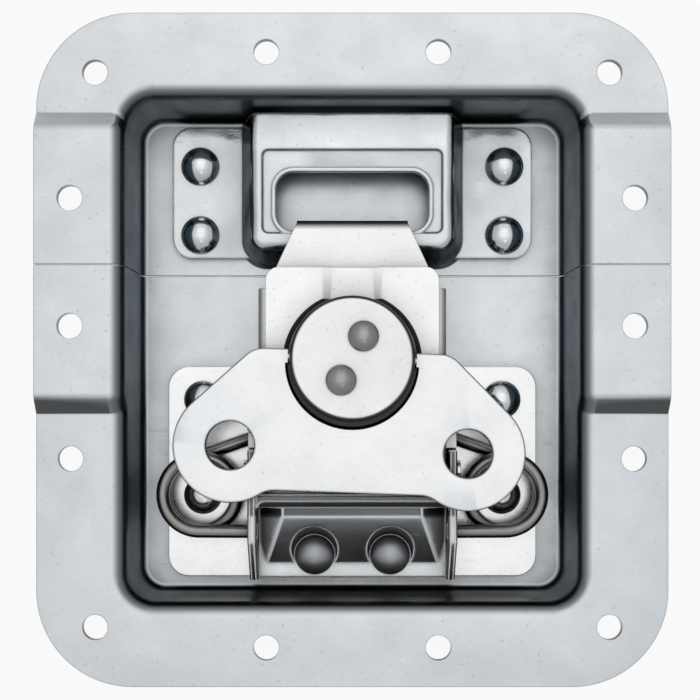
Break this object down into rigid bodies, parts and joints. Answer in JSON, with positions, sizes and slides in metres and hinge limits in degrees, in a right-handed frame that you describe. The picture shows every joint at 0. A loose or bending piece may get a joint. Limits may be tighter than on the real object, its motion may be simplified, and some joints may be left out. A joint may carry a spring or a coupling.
{
  "type": "butterfly case latch",
  "caption": "Recessed sprung butterfly twist latch for a flight case: a two-winged key turns a cam that draws a hook plate over a keeper, in a split pressed dish",
  "frame": {"origin": "centre of the dish outline on the back face of its flange, the face that rests on the case panel", "axes": "+Z points out of the case towards the hand, +Y towards the lid and the keeper, +X to the right of someone who faces the latch"},
  "size_m": [0.105, 0.112, 0.0181],
  "materials": {
    "dish_sheet": "satin blue-grey zinc plate",
    "bright_sheet": "bright zinc plate with fine scratches",
    "keeper_sheet": "bright zinc plate with a grained panel",
    "bracket_sheet": "glossy zinc plate",
    "rivet_steel": "domed rivet, tumbled and plated",
    "cam_steel": "plated steel",
    "spring_wire": "oil-tempered spring wire"
  },
  "bodies": {
    "dish": {"dish_upper": "dish_sheet", "dish_lower": "dish_sheet", "keeper": "keeper_sheet", "base_plate": "bright_sheet", "bracket": "bracket_sheet", "hinge_pin": "rivet_steel", "spring_left": "spring_wire", "spring_right": "spring_wire", "keeper_rivet_1": "rivet_steel", "keeper_rivet_2": "rivet_steel", "keeper_rivet_3": "rivet_steel", "keeper_rivet_4": "rivet_steel", "base_rivet_1": "rivet_steel", "base_rivet_2": "rivet_steel", "base_rivet_3": "rivet_steel", "base_rivet_4": "rivet_steel", "bracket_rivet_1": "rivet_steel", "bracket_rivet_2": "rivet_steel"},
    "cover": {"cover_plate": "bright_sheet"},
    "hook": {"hook_plate": "bright_sheet"},
    "cam": {"cam": "cam_steel", "cam_washer": "cam_steel", "cam_cap": "bright_sheet", "cap_rivet_1": "rivet_steel", "cap_rivet_2": "rivet_steel"},
    "key": {"butterfly_key": "bright_sheet"}
  },
  "joints": [
    {"name": "hook_lift", "type": "hinge", "parent": "dish", "child": "cover", "pos_m": [0, -0.0204, -0.0046], "axis": [1, 0, 0], "range_deg": [0, 8]},
    {"name": "hook_slide", "type": "slide", "parent": "cover", "child": "hook", "axis": [0, 1, 0], "range_m": [0, 0.006]},
    {"name": "cam_turn", "type": "hinge", "parent": "cover", "child": "cam", "pos_m": [0, -0.0014, 0], "axis": [0, 0, 1], "range_deg": [0, 180]},
    {"name": "key_flip", "type": "hinge", "parent": "cam", "child": "key", "pos_m": [0, -0.0014, -0.00015], "axis": [-0.9994, 0.0358, 0], "range_deg": [0, 90]}
  ],
  "couplings": [
    {"joint": "hook_slide", "follows": "cam_turn", "m_per_rad": 0.0019099}
  ]
}
